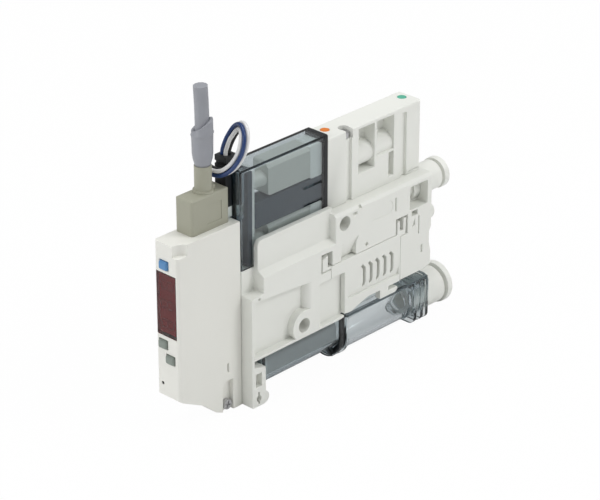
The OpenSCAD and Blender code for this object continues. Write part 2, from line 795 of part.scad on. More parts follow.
module switch_case() {
    color("whitesmoke") difference() {
        intersection() {
            slab(valve_y, switch_far) switch_outline();
            linear_extrude(switch_h + 1) soft_rect([face_x, valve_y], [2, switch_far], 1.1);
        }
        // hollow for the board, the display and the pressure sensor
        block([face_x + switch_wall, valve_y + switch_wall, board_z - 1],
              [-switch_wall - gap, switch_far - switch_wall, hollow_top]);
        block([face_x - 1, display_y, display_z],
              [face_x + switch_wall + 1, display_y + display_w, display_z + display_h]);
        key_holes();
        rod_x(1.1, face_x - 1, face_x + switch_wall + 1, 11.2, 14.6);
        rod_x(3 + 2 * gap, -switch_wall - 1, 1, mid_y, stub_z);
        // rounded dip in the near top corner
        rod_z(7, switch_h - 3.4, switch_h + 1, face_x + 0.8, valve_y - 1.4);
        // screw pocket and the slot above it
        slab(0, valve_y + 1.6) {
            polygon([[screw_x - 2.2, -1], [screw_x + 1.9, -1], [screw_x + 1.9, 10.1], [screw_x - 0.4, 10.1],
                     [screw_x - 2.2, 8.6]]);
            translate([screw_x - 0.25, 12.9]) square([0.5, 2.8]);
        }
        rod_y(2 * 0.9 + 2 * gap, valve_y, switch_far - 1, screw_x, screw_z);
        block([plug_x + 2.4, plug_y + 1, hollow_top - 1], [plug_end - 2.4, plug_far - 1, switch_h + 1]);
    }
}

module display_window() {
    color("maroon")
        block([face_x, display_y + run, display_z + run],
              [face_x + 1, display_y + display_w - run, display_z + display_h - run]);
}

// Digit module behind the window, standing on the board
module led_display() {
    color([0.3, 0.3, 0.3])
        block([face_x + 1, display_y + 0.8, display_z + 0.8],
              [board_x, display_y + display_w - 0.8, display_z + display_h - 0.8]);
}

module circuit_board() {
    color("seagreen") union() {
        block([board_x, valve_y + switch_wall + gap, board_z], [board_x + 1, switch_far - switch_wall - gap, board_top]);
        for (k = KEYS)
            block([face_x + switch_wall + 1.7 + key_travel, k.x - 1.2, k.y - 1], [board_x + gap, k.x + 1.2, k.y + 1]);
    }
}

// A push button: its cap, and a collar that keeps it in the case
module key(k) {
    block([face_x - key_out, k.x - key_w / 2, k.y - key_h / 2],
          [face_x + switch_wall + 0.1, k.x + key_w / 2, k.y + key_h / 2]);
    block([face_x + switch_wall + 0.1, k.x - key_w / 2, k.y - key_h / 2 - 0.3],
          [face_x + switch_wall + 0.9, k.x + key_w / 2, k.y + key_h / 2 + 0.3]);
    rod_x(1.6, face_x + switch_wall + 0.8, face_x + switch_wall + 1.6, k.x, k.y);
}

module set_key() { color("steelblue") key(KEYS[0]); }
module up_key() { color("darkgray") key(KEYS[1]); }
module down_key() { color("darkgray") key(KEYS[2]); }

module pressure_sensor() {
    color("silver") union() {
        block([board_x + 1, mid_y - 1.9, stub_z - 3], [board_x + 5, mid_y + 3.3, stub_z + 3]);
        difference() {
            rod_x(3, board_x + 4.9, 1.5, mid_y, stub_z);
            rod_x(1.4, board_x + 7, 2, mid_y, stub_z);
        }
    }
}

module switch_screw() {
    color("silver") difference() {
        union() {
            rod_y(3.2, valve_y + 0.3, valve_y + 1.6, screw_x, screw_z);
            rod_y(1.8, valve_y + 1.5, switch_far - 1.5, screw_x, screw_z);
        }
        for (q = [20, 110])
            translate([screw_x, valve_y + 0.3, screw_z]) rotate([0, q, 0]) cube([2.2, 1, 0.45], center = true);
    }
}

module plug_block() {
    intersection() {
        linear_extrude(plug_top) soft_rect([plug_x, plug_y], [plug_end, plug_far], 0.9);
        slab(plug_y - 1, plug_far + 1) soft_rect([plug_x, switch_h - 3], [plug_end, plug_top], 0.9);
        beam(plug_x - 1, plug_end + 1) soft_rect([plug_y, switch_h - 3], [plug_far, plug_top], 0.9);
        block([plug_x, plug_y, switch_h], [plug_end, plug_far, plug_top]);
    }
}

module cable_plug() {
    color([0.66, 0.66, 0.58]) difference() {
        union() {
            plug_block();
            block([plug_x + 2.5, plug_y + 1.1, hollow_top], [plug_end - 2.5, plug_far - 1.1, switch_h + 1]);
            rod_z(boot_d, plug_top - 1, boot_top, cable_x, cable_y);
            // low collar and rib at the foot of the boot
            rod_z(boot_d + 1, plug_top - 1, plug_top + 0.6, cable_x, cable_y);
            block([cable_x, cable_y - 1.6, plug_top - 1], [cable_x + boot_d / 2 + 0.9, cable_y + 1.6, plug_top + 1.4]);
        }
        rod_z(cable_d + 0.04, plug_top - 0.5, boot_top + 1, cable_x, cable_y);
        // bare shallow recess in the near side
        block([plug_x + 6, plug_y - 1, switch_h + 2], [plug_x + 11.6, plug_y + 0.2, plug_top - 3]);
    }
}

// Sleeve over the cable, cut on a slant at the top
module cable_sleeve() {
    color([0.62, 0.65, 0.7]) difference() {
        rod_z(cable_d + 2, boot_top, sleeve_top + 2, cable_x, cable_y);
        rod_z(cable_d + 0.1, boot_top - 1, sleeve_top + 3, cable_x, cable_y);
        translate([cable_x, cable_y, sleeve_top]) rotate([0, -22, 0]) block([-9, -9, 0], [9, 9, 9]);
    }
}

module sensor_cable() {
    color([0.6, 0.62, 0.66])
        cord([[cable_x, cable_y, plug_top - 0.5], [cable_x, cable_y, boot_top],
              [cable_x, cable_y, sleeve_top + 2.5], [cable_x - 0.4, cable_y, cable_top]], cable_d, 7, 12);
}

// ---- Suction filter ----

module case_profile(inset) {
    soft_rect([mid_y - case_side + inset, case_z + inset], [mid_y + case_side - inset, sill_z - gap - inset], 3.4 - inset);
    translate([mid_y - case_side + inset, filter_z]) square([2 * (case_side - inset), sill_z - gap - inset - filter_z]);
}

module housing_profile(inset) {
    translate([mid_y, housing_r]) circle(housing_r - inset);
    translate([mid_y - housing_r + inset, housing_r]) square([2 * (housing_r - inset), housing_top - inset - housing_r]);
}

// Square-shouldered flange at the port end
module flange_profile() {
    soft_rect([mid_y - housing_r, 0], [mid_y + housing_r, housing_top], 2.2);
}

// Wall of the clear housing: the round trough is a little narrower than its sides
module wall_profile() {
    translate([mid_y, housing_r]) circle(housing_r - 0.35 - trough_step);
    translate([mid_y - housing_r + 0.35, housing_r]) square([2 * (housing_r - 0.35), housing_top - 0.35 - housing_r]);
}

module filter_case() {
    color([0.75, 0.8, 0.82, 0.5]) difference() {
        union() {
            beam(case_x, case_end) case_profile(0);
            // flange that the seal stands on, with its sloped foot
            beam(case_end - 1.4, case_end) housing_profile(0.1);
            slab(mid_y - 3.5, mid_y + 3.5) polygon([[34.4, case_z + 0.1], [38, 0.9], [38.1, case_z + 0.1]]);
        }
        beam(case_x + 1.6, case_end + 1) case_profile(case_wall);
        rod_z(3, sill_z - 2, sill_z + 1, suction_x, mid_y);
    }
}

module filter_profile(edge) {
    soft_rect([mid_y - filter_w / 2 - edge, filter_z - filter_d / 2 - edge],
              [mid_y + filter_w / 2 + edge, filter_z + filter_d / 2 + edge], 1.6);
}

module filter_element() {
    color("white") difference() {
        beam(filter_x, filter_end) filter_profile(0);
        rod_x(filter_bore, filter_x - 1, filter_end + 1, mid_y, filter_z);
    }
}

// Cap that closes the front of the element and centres it in the case
module filter_cap() {
    color("lightgray") union() {
        beam(case_x + 1.6 + gap, filter_x) filter_profile(0.2);
        rod_x(filter_bore - gap, filter_x - 0.5, filter_x + 3, mid_y, filter_z);
    }
}

module filter_seal() {
    color([0.1, 0.1, 0.1]) beam(case_end, case_end + seal_t) difference() {
        housing_profile(0.5);
        housing_profile(2.2);
    }
}

module vacuum_housing() {
    color([0.75, 0.8, 0.82, 0.5]) difference() {
        union() {
            beam(housing_x, housing_end) wall_profile();
            beam(housing_x, housing_x + 1.3) housing_profile(0);
            // end ribs round the port socket
            beam(housing_end - socket_wall, housing_end) housing_profile(0.35);
            for (x = [housing_end - 6.6, housing_end - 3.6, housing_end - 1.3])
                beam(x, x + 1.3) flange_profile();
            rod_x(filter_bore - gap, filter_end - 3, housing_x + 1, mid_y, filter_z);
        }
        beam(housing_x + 1.3, housing_end - socket_wall) housing_profile(case_wall + 0.35 + trough_step);
        rod_x(2, filter_end - 4, housing_x + 2, mid_y, filter_z);
        rod_x(vacuum_tube + 2.6, housing_end - 6.8, housing_end + 1, mid_y, vacuum_z);
        rod_x(vacuum_tube - 2, housing_end - 9, housing_end, mid_y, vacuum_z);
    }
}

// ---- Ports ----

// Barrel of a push-in fitting; x0 is its inner end and mouth its outer end
module fitting_barrel(x0, mouth, od, tube, y, z) {
    difference() {
        rod_x(od, x0, mouth, y, z);
        rod_x(tube + 0.2, mouth - 9, mouth + 1, y, z);
        rod_x(tube + 1.2 + 2 * run, mouth - 4, mouth + 1, y, z);
        rod_x(tube - 2, x0 - 1, mouth, y, z);
    }
}

// Release collar: sleeve inside the barrel and a rim to press
module release_collar(mouth, tube, rim_d, y, z) {
    rim_x = mouth + collar_gap;
    difference() {
        union() {
            rod_x(tube + 1.2, mouth - 3, rim_x + 0.1, y, z);
            rod_x(rim_d, rim_x, rim_x + collar_t, y, z);
        }
        rod_x(tube + 0.2, mouth - 4, rim_x + collar_t + 1, y, z);
    }
}

supply_mouth = body_l + supply_out;
vacuum_mouth = housing_end + vacuum_out;
supply_od = supply_tube + 3.2;
vacuum_od = vacuum_tube + 4;

module supply_fitting() {
    color("whitesmoke") difference() {
        fitting_barrel(body_l - socket_l + gap, supply_mouth, supply_od, supply_tube, mid_y, supply_z);
        // groove for the retaining clip
        difference() {
            rod_x(supply_od + 1, clip_x, clip_x + 1.8, mid_y, supply_z);
            rod_x(supply_tube + 1.6, clip_x - 1, clip_x + 3, mid_y, supply_z);
        }
    }
}

module supply_collar() {
    color("whitesmoke") release_collar(supply_mouth, supply_tube, supply_tube + 3.8, mid_y, supply_z);
}

module vacuum_fitting() {
    color("whitesmoke") union() {
        fitting_barrel(housing_end, vacuum_mouth, vacuum_od, vacuum_tube, mid_y, vacuum_z);
        difference() {
            rod_x(vacuum_tube + 2.5, housing_end - 6, housing_end + gap, mid_y, vacuum_z);
            rod_x(vacuum_tube - 2, housing_end - 7, housing_end + 1, mid_y, vacuum_z);
        }
    }
}

module vacuum_collar() {
    color("whitesmoke") release_collar(vacuum_mouth, vacuum_tube, vacuum_tube + 5.2, mid_y, vacuum_z);
}

// Fork that holds the supply fitting, seen through the body's window
module port_clip() {
    color("whitesmoke") difference() {
        slab(mid_y - 3.3, mid_y + 3.3) translate([clip_x + gap, supply_z - 4.4]) square([1.6, 8.4]);
        rod_x(supply_tube + 1.8, clip_x - 1, clip_x + 3, mid_y, supply_z);
        block([clip_x - 1, mid_y - 3.3, supply_z], [clip_x + 3, mid_y + 3.3, supply_z + 9]);
    }
}

module pilot_plug() {
    color("whitesmoke") union() {
        rod_x(4.4, body_l - 5.8, body_l, mid_y, pilot_z);
        translate([body_l, mid_y, pilot_z]) rotate([0, 90, 0]) cylinder(d = hex_w, h = 3.4, $fn = 6);
        rod_x(5.4, body_l, body_l + 6, mid_y, pilot_z);
        translate([body_l + 6, mid_y, pilot_z]) intersection() {
            sphere(d = 5.4);
            block([0, -4, -4], [4, 4, 4]);
        }
    }
}

unit() ejector_body();
unit() exhaust_cover();
unit() silencer();
unit() nozzle();
unit() diffuser();
unit() check_valve();
unit() valve_body();
unit() supply_spool();
unit() release_spool();
unit() end_plug();
unit() supply_override();
unit() release_override();
unit() needle_screw();
unit() port_seals();
unit() hood();
unit() adapter_frame();
unit() supply_solenoid();
unit() release_solenoid();
unit() supply_pilot();
unit() release_pilot();
unit() contact_carrier();
unit() terminal_pins();
unit() valve_connector();
unit() lead_white();
unit() lead_blue();
unit() lead_black();
unit() lead_white_2();
unit() switch_case();
unit() display_window();
unit() led_display();
unit() circuit_board();
unit() set_key();
unit() up_key();
unit() down_key();
unit() pressure_sensor();
unit() switch_screw();
unit() cable_plug();
unit() cable_sleeve();
unit() sensor_cable();
unit() filter_case();
unit() filter_element();
unit() filter_cap();
unit() filter_seal();
unit() vacuum_housing();
unit() supply_fitting();
unit() supply_collar();
unit() vacuum_fitting();
unit() vacuum_collar();
unit() port_clip();
unit() pilot_plug();
unit() coil_frame();
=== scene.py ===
"""Looks of the vacuum ejector: soft-edged mouldings, clear filter parts, free leads and finishes.

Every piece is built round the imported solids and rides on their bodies. Lengths are in metres.
"""

import math

import bmesh
import bpy
from mathutils import Matrix, Vector
from mathutils.bvhtree import BVHTree
from mathutils.geometry import intersect_point_line


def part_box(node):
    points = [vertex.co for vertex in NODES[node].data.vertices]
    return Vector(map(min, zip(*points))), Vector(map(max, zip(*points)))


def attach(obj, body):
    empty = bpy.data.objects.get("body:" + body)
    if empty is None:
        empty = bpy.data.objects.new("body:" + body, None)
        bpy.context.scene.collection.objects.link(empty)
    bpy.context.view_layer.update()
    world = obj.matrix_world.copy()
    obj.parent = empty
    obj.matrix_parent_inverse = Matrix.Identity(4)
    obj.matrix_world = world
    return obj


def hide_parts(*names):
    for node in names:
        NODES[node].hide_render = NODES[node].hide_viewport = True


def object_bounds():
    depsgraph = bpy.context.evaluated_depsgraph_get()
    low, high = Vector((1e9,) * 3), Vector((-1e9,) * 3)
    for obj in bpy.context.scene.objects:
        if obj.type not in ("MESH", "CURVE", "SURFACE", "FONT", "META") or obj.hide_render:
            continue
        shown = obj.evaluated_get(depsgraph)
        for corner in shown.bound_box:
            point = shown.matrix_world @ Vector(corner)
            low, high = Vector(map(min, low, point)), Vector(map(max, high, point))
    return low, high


bl_info = {
    "name": "Vacuum Ejector",
    "version": (1, 0, 0),
    "blender": (4, 5, 0),
    "location": "3D View > Sidebar > Ejector",
    "description": "Builds the looks of a slim vacuum ejector round its solids",
    "category": "Object",
}

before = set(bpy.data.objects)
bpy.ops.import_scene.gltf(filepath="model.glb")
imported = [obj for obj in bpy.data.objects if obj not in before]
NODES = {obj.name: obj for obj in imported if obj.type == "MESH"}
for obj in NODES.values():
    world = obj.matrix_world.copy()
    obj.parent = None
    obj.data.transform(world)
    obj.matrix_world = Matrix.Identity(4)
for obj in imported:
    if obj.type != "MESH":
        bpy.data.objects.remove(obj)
CAD_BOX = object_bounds()
BODY = "ejector"
MM = 0.001

# The lower front corner of the ejector body on its near side, seen from the unit's origin
CORNER = Vector((-31.9, -7.5, 0)) * MM


# ---- Materials ----


class Value:
    """A number on the wires of a node tree; Python's arithmetic adds its Math nodes."""

    def __init__(self, wiring, socket):
        self.wiring = wiring
        self.socket = socket

    def math(self, operation, first, second=0.0, clamp=False):
        settings = {"operation": operation, "use_clamp": clamp}
        node = self.wiring.node("ShaderNodeMath", settings, {0: first, 1: second})
        return Value(self.wiring, node.outputs[0])

    def __add__(self, other):
        return self.math("ADD", self, other)

    def __sub__(self, other):
        return self.math("SUBTRACT", self, other)

    def __rsub__(self, other):
        return self.math("SUBTRACT", other, self)

    def __mul__(self, other):
        return self.math("MULTIPLY", self, other)

    __radd__ = __add__
    __rmul__ = __mul__

    def clamped(self):
        return self.math("ADD", self, 0.0, clamp=True)

    def larger(self, other):
        return self.math("MAXIMUM", self, other)


class Wiring:
    """The node tree of a material or of the surroundings while its nodes are laid."""

    def __init__(self, tree):
        self.tree = tree
        tree.nodes.clear()

    def node(self, kind, settings=None, inputs=None):
        """A node of that kind; its settings come first, then the values or wires of its sockets."""
        made = self.tree.nodes.new(kind)
        for name, value in (settings or {}).items():
            setattr(made, name, value)
        for key, value in (inputs or {}).items():
            self.feed(made.inputs[key], value)
        return made

    def feed(self, socket, value):
        if isinstance(value, Value):
            value = value.socket
        if isinstance(value, bpy.types.NodeSocket):
            self.tree.links.new(value, socket)
        else:
            socket.default_value = value


class Finish(Wiring):
    """A procedural material with a Principled shader at its end."""

    def __init__(self, name):
        self.material = bpy.data.materials.new(name)
        self.material.use_nodes = True
        super().__init__(self.material.node_tree)
        self.shader = self.node("ShaderNodeBsdfPrincipled")
        self.output = self.node("ShaderNodeOutputMaterial", None, {0: self.shader.outputs[0]})
        self.place = self.node("ShaderNodeTexCoord").outputs["Object"]

    def set(self, **sockets):
        """Feeds the shader's sockets; an underscore in a name stands for a space."""
        for name, value in sockets.items():
            self.feed(self.shader.inputs[name.replace("_", " ")], value)

    def noise(self, size, detail=2.0, rough=0.5, stretch=None):
        """Soft noise whose blotches are about that many millimetres across."""
        where = self.place
        if stretch:
            where = self.node("ShaderNodeMapping", None, {"Vector": where, "Scale": stretch}).outputs[0]
        node = self.node(
            "ShaderNodeTexNoise",
            None,
            {"Vector": where, "Scale": 1 / (size * MM), "Detail": detail, "Roughness": rough},
        )
        return Value(self, node.outputs[0])

    def mix(self, factor, low, high):
        """Colour between low and high."""
        node = self.node("ShaderNodeMix", {"data_type": "RGBA"}, {0: factor, 6: low, 7: high})
        return node.outputs[2]

    def bump(self, height, depth, strength):
        """Relief of that many millimetres."""
        inputs = {"Height": height, "Distance": depth * MM, "Strength": strength}
        return self.node("ShaderNodeBump", None, inputs).outputs[0]

    def blend(self, factor, shader):
        """Lays another shader over the surface, by the factor."""
        sockets = {0: factor, 1: self.shader.outputs[0], 2: shader.outputs[0]}
        mixed = self.node("ShaderNodeMixShader", None, sockets)
        self.tree.links.new(mixed.outputs[0], self.output.inputs["Surface"])


def rgba(colour, gain=1.0):
    """The colour times the gain, with an alpha of one."""
    return [min(1.0, c * gain) for c in colour[:3]] + [1.0]


def moulded_resin(name, colour, rough=0.42, grain=0.012, mottle=0.03, shine=0.5):
    """Injection-moulded resin: faint flow marks, a fine spark-eroded grain and uneven sheen.

    The grain is in millimetres; mottle is the share by which the flow marks shift the colour.
    """
    f = Finish(name)
    flow = f.noise(14, 3.0, 0.55)
    specks = f.noise(0.9, 2.0)
    marked = f.mix(flow, rgba(colour, 1 - mottle), rgba(colour, 1 + mottle * 0.6))
    tint = f.mix((specks - 0.5) * 0.10 + 0.05, marked, rgba(colour, 0.9))
    f.set(Base_Color=tint, Roughness=(flow - 0.5) * 0.16 + (specks - 0.5) * 0.08 + rough)
    f.set(Normal=f.bump(f.noise(0.32, 3.0, 0.6), grain, 0.5), IOR=1.49, Specular_IOR_Level=shine)
    return f.material


def clear_resin(name, colour, density, light_inside, rough, shine=0.5):
    """Clear moulded resin that darkens with depth, with slight ripples left by the mould.

    The density is per metre; light_inside tints the light that reaches what stands inside.
    """
    f = Finish(name)
    ripple = f.noise(6, 2.0)
    scuffs = f.noise(1.2, 4.0, 0.6, (1.0, 1.0, 5.0))
    haze = f.mix(scuffs, [0.97, 0.98, 0.98, 1], [1, 1, 1, 1])
    f.set(Base_Color=haze, Roughness=scuffs * 0.05 + rough, Transmission_Weight=1.0, IOR=1.5)
    f.set(Specular_IOR_Level=shine)
    f.set(Normal=f.bump(ripple, 0.05, 0.35))
    body = f.node("ShaderNodeVolumeAbsorption", None, {"Color": rgba(colour), "Density": density})
    f.tree.links.new(body.outputs[0], f.output.inputs["Volume"])
    rays = f.node("ShaderNodeLightPath").outputs
    open_way = Value(f, rays["Is Shadow Ray"]).larger(Value(f, rays["Is Diffuse Ray"]))
    f.blend(open_way, f.node("ShaderNodeBsdfTransparent", None, {"Color": rgba(light_inside)}))
    return f.material


def turned_metal(name, colour, rough):
    """Plated or turned metal: fine tool lines and faint stains."""
    f = Finish(name)
    lines = f.noise(0.12, 3.0, 0.6, (0.15, 1.0, 1.0))
    stain = f.noise(2.5, 3.0)
    f.set(Base_Color=f.mix(stain, rgba(colour, 0.86), rgba(colour, 1.05)), Metallic=1.0)
    f.set(Roughness=(lines - 0.5) * 0.2 + rough, Normal=f.bump(lines, 0.006, 0.5))
    return f.material


def moulded_rubber(name, colour):
    """Black rubber with a dusty bloom."""
    f = Finish(name)
    bloom = f.noise(3, 4.0, 0.65)
    f.set(Base_Color=f.mix(bloom, rgba(colour), rgba(colour, 1.9)), Roughness=bloom * 0.25 + 0.5)
    f.set(Normal=f.bump(f.noise(0.4, 3.0), 0.01, 0.5))
    return f.material


def fibre(name, colour, size):
    """Pressed or sintered fibre: open pores between short strands, with painted shade where the relief
    is low.
    """
    f = Finish(name)
    strands = f.noise(size, 5.0, 0.7)
    pores = {"Vector": f.place, "Scale": 1 / (size * 1.6 * MM)}
    depth = Value(f, f.node("ShaderNodeTexVoronoi", {"feature": "F1"}, pores).outputs[0])
    # the colour darkens where the relief is low: painted shade in the pores and between the strands
    f.set(Base_Color=f.mix((strands * 0.6 + depth * 0.5).clamped(), rgba(colour, 0.6), rgba(colour)))
    f.set(Roughness=0.92, Normal=f.bump(strands * 0.6 + depth, 0.06, 0.7), Sheen_Weight=0.3)
    return f.material


def cable_vinyl(name, colour, rough):
    """Extruded vinyl jacket: long draw lines and a soft sheen."""
    f = Finish(name)
    draw = f.noise(0.8, 3.0, 0.6, (1.0, 1.0, 0.12))
    smear = f.noise(5, 3.0)
    f.set(Base_Color=f.mix(smear, rgba(colour, 0.9), rgba(colour, 1.08)))
    f.set(Roughness=(draw - 0.5) * 0.2 + rough, Normal=f.bump(draw, 0.03, 0.5), IOR=1.5)
    return f.material


def board_mask(name, colour):
    """Green solder mask over copper tracks."""
    f = Finish(name)
    shades = {"Color1": rgba(colour), "Color2": rgba(colour, 0.8)}
    layout = {"Vector": f.place, "Scale": 420.0, "Mortar Size": 0.06}
    tracks = f.node("ShaderNodeTexBrick", None, layout | shades)
    f.set(Base_Color=f.mix(f.noise(4, 2.0), tracks.outputs[0], rgba(colour, 1.2)), Roughness=0.35)
    f.set(Normal=f.bump(Value(f, tracks.outputs[1]), 0.03, 0.5), Coat_Weight=0.4)
    return f.material


# ---- Sizes and colours that a user may change ----


class EjectorColours(bpy.types.PropertyGroup):
    """Colours of the unit's finishes."""

    white: bpy.props.FloatVectorProperty(
        name="Body resin", description="Colour of the white mouldings", subtype="COLOR",
        default=(0.80, 0.81, 0.765), min=0.0, max=1.0,
    )
    switch: bpy.props.FloatVectorProperty(
        name="Switch resin", description="Colour of the pressure switch's case", subtype="COLOR",
        default=(0.80, 0.80, 0.75), min=0.0, max=1.0,
    )
    smoke: bpy.props.FloatVectorProperty(
        name="Smoky cover", description="Tint of the clear cover over the solenoids", subtype="COLOR",
        default=(0.50, 0.57, 0.60), min=0.0, max=1.0,
    )
    clear: bpy.props.FloatVectorProperty(
        name="Clear filter", description="Tint of the clear filter case", subtype="COLOR",
        default=(0.58, 0.63, 0.65), min=0.0, max=1.0,
    )
    plug: bpy.props.FloatVectorProperty(
        name="Cable plug", description="Colour of the cable's moulded plug", subtype="COLOR",
        default=(0.36, 0.36, 0.285), min=0.0, max=1.0,
    )
    cable: bpy.props.FloatVectorProperty(
        name="Cable", description="Colour of the cable's jacket", subtype="COLOR",
        default=(0.30, 0.31, 0.34), min=0.0, max=1.0,
    )
    window: bpy.props.FloatVectorProperty(
        name="Display window", description="Colour of the display's window", subtype="COLOR",
        default=(0.55, 0.06, 0.075), min=0.0, max=1.0,
    )


class EjectorSizes(bpy.types.PropertyGroup):
    """Sizes of what the scene adds to the solids."""

    edge: bpy.props.FloatProperty(
        name="Edge radius", description="Radius of the mouldings' edges", unit="LENGTH",
        default=0.28 * MM, min=0.05 * MM, max=0.6 * MM,
    )
    smoke_density: bpy.props.FloatProperty(
        name="Smoke density", description="How fast the smoky cover darkens with depth, per metre",
        default=620.0, min=0.0, max=4000.0,
    )
    clear_density: bpy.props.FloatProperty(
        name="Filter density",
        description="How fast the clear filter case darkens with depth, per metre",
        default=1000.0, min=0.0, max=4000.0,
    )
    housing_density: bpy.props.FloatProperty(
        name="Housing density",
        description="How fast the clear rear housing darkens with depth, per metre",
        default=430.0, min=0.0, max=4000.0,
    )
    camera_lens: bpy.props.FloatProperty(
        name="Camera lens", description="Focal length of the camera", unit="CAMERA", default=159.0,
        min=20.0, max=400.0,
    )


def colours():
    return bpy.context.scene.ejector_colours


def sizes():
    return bpy.context.scene.ejector_sizes


FINISHES = {}


def recipes():
    """For each finish, the function that makes it and what that takes after the finish's name."""
    c, s = colours(), sizes()
    return {
        "white_resin": (moulded_resin, c.white),
        "valve_resin": (moulded_resin, [v * 1.03 for v in c.white], 0.38, 0.008),
        "switch_resin": (moulded_resin, c.switch, 0.4, 0.01),
        "inner_resin": (moulded_resin, (0.92, 0.94, 0.91), 0.35, 0.006),
        "coil_resin": (moulded_resin, (0.68, 0.69, 0.64), 0.42, 0.01, 0.06),
        # the coil frame's blue-black tone is its resin and also painted shade inside the smoky cover
        "frame_resin": (moulded_resin, (0.045, 0.065, 0.088), 0.5, 0.01, 0.1, 0.2),
        "black_resin": (moulded_resin, (0.017, 0.018, 0.020), 0.36, 0.01, 0.2, 0.25),
        "beige_resin": (moulded_resin, c.plug, 0.5, 0.02, 0.05),
        "blue_key": (moulded_resin, (0.09, 0.25, 0.50), 0.35, 0.004),
        "grey_key": (moulded_resin, (0.23, 0.265, 0.235), 0.4, 0.004),
        "orange": (moulded_resin, (0.76, 0.20, 0.015), 0.35, 0.004),
        "green": (moulded_resin, (0.09, 0.45, 0.31), 0.35, 0.004),
        "digit_module": (moulded_resin, (0.50, 0.012, 0.018), 0.5, 0.004, 0.03, 0.08),
        "digit": (moulded_resin, (0.25, 0.006, 0.012), 0.5, 0.004, 0.03, 0.08),
        "smoke": (clear_resin, c.smoke, s.smoke_density, (0.97, 0.98, 0.97), 0.04),
        "clear": (clear_resin, c.clear, s.clear_density, (0.97, 0.98, 0.98), 0.02),
        "clear_housing": (clear_resin, c.clear, s.housing_density, (0.90, 0.92, 0.93), 0.02),
        "display": (clear_resin, c.window, 1300.0, (0.97, 0.6, 0.6), 0.1, 0.15),
        "felt": (fibre, (0.55, 0.55, 0.5), 0.35),
        "filter_media": (fibre, (0.82, 0.82, 0.8), 0.2),
        "rubber": (moulded_rubber, (0.02, 0.02, 0.021)),
        "brass": (turned_metal, (0.72, 0.53, 0.25), 0.25),
        "steel": (turned_metal, (0.52, 0.52, 0.53), 0.34),
        "spool_metal": (turned_metal, (0.7, 0.71, 0.73), 0.2),
        "board": (board_mask, (0.01, 0.16, 0.06)),
        "cable_jacket": (cable_vinyl, c.cable, 0.45),
        "wire_white": (cable_vinyl, (0.8, 0.8, 0.79), 0.3),
        "wire_blue": (cable_vinyl, (0.010, 0.040, 0.15), 0.3),
        "wire_black": (cable_vinyl, (0.012, 0.012, 0.014), 0.3),
    }


def finish_of(name):
    """The material of that name, made the first time that a piece asks for it."""
    if name not in FINISHES:
        make, *needs = recipes()[name]
        FINISHES[name] = make(name, *needs)
    return FINISHES[name]


# ---- Meshes ----

SAME_CORNER = 0.002 * MM  # corners of a CAD mesh nearer than this are one
SAME_FLAT = math.radians(0.4)  # faces that turn less than this against each other are joined
FLAT = math.radians(0.6)  # and less than this, they are parts of one flat area
SHARP = math.radians(24)  # edges that turn more than this are rounded
RUNS_ON = -0.8  # an edge runs on into another below this cosine between their ways from a corner

# Room for a rounding, in widths of the rounding: how far it is looked for, what share of it is
# taken, and the width in metres below which the edge stays sharp
REACH = 2.5
TAKEN = 0.42
NARROWEST = 0.012 * MM
PLACES_ALONG = (0.0, 0.25, 0.5, 0.75, 1.0)  # shares of an edge where the room is measured
TURNS_INWARD = 0.01  # least part inwards of the way of an edge that bounds the room at a corner
LIES_INWARD = 0.3  # and of the way to one that bounds it from across

# How far a rounded mesh may leave its CAD node's surface, in radii, and its box, in metres; the
# least area of a triangle that counts as folded; the grid that the places found are kept on
ASTRAY = 0.45
PAST_BOX = 1e-6
FOLD_AREA = 1e-10
GRID = 0.3 * MM

# How often a mesh is mended and tested again; how near a chain of edges is to a place found when
# it is narrowed; the share of its weight that is left; the weight below which it stays sharp
TRIES = 6
TO_BLAME = 0.4 * MM
LEFT = 0.4
LEAST_WEIGHT = 0.05


def to_object(bm, name, material, smooth=True):
    """Turns the finished bmesh into an object at the origin, with its place in its mesh."""
    mesh = bpy.data.meshes.new(name)
    for face in bm.faces:
        face.smooth = smooth
    bm.to_mesh(mesh)
    bm.free()
    made = bpy.data.objects.new(name, mesh)
    bpy.context.scene.collection.objects.link(made)
    made.data.materials.append(material)
    return made


def settle(made, node=None, body=BODY):
    """Rides a piece on its body, and lets it stand for its CAD node if it has one."""
    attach(made, body)
    if node:
        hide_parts(node)


def flat_areas(bm):
    """Maps each face to the outline of the flat area that it is part of."""
    outline_of = {}
    for face in bm.faces:
        if face in outline_of:
            continue
        outline, waiting = set(), [face]
        outline_of[face] = outline
        while waiting:
            for edge in waiting.pop().edges:
                sides = [f for f in edge.link_faces if f not in outline_of]
                if edge.calc_face_angle(math.pi) > FLAT:
                    outline.add(edge)
                else:
                    outline_of.update((f, outline) for f in sides)
                    waiting.extend(sides)
    return outline_of


def direction(edge, corner):
    """The way that the edge leaves that corner."""
    return (edge.other_vert(corner).co - corner.co).normalized()


def nearest_on(point, a, b):
    """The place on the line from a to b that is nearest to the point."""
    share = intersect_point_line(point, a, b)[1]
    return a.lerp(b, min(1.0, max(0.0, share)))


def room_at_corner(edge, other, corner, inward):
    """How far the edge can be rounded before it passes the end of another that meets it."""
    away = direction(other, corner)
    if away.dot(inward) <= TURNS_INWARD:
        return math.inf
    onward = -away.dot(direction(edge, corner))
    bend = math.sqrt(max(0.0, 1 - onward) / max(1e-4, 1 + onward))
    return min(edge.calc_length(), other.calc_length()) / bend


def room_across(a, b, c, d, inward):
    """The least way across a flat area from the line between a and b to that between c and d."""
    room = math.inf
    for share in PLACES_ALONG:
        spot = a.lerp(b, share)
        way = nearest_on(spot, c, d) - spot
        if way.dot(inward) > LIES_INWARD * way.length:
            room = min(room, way.length)
    return room


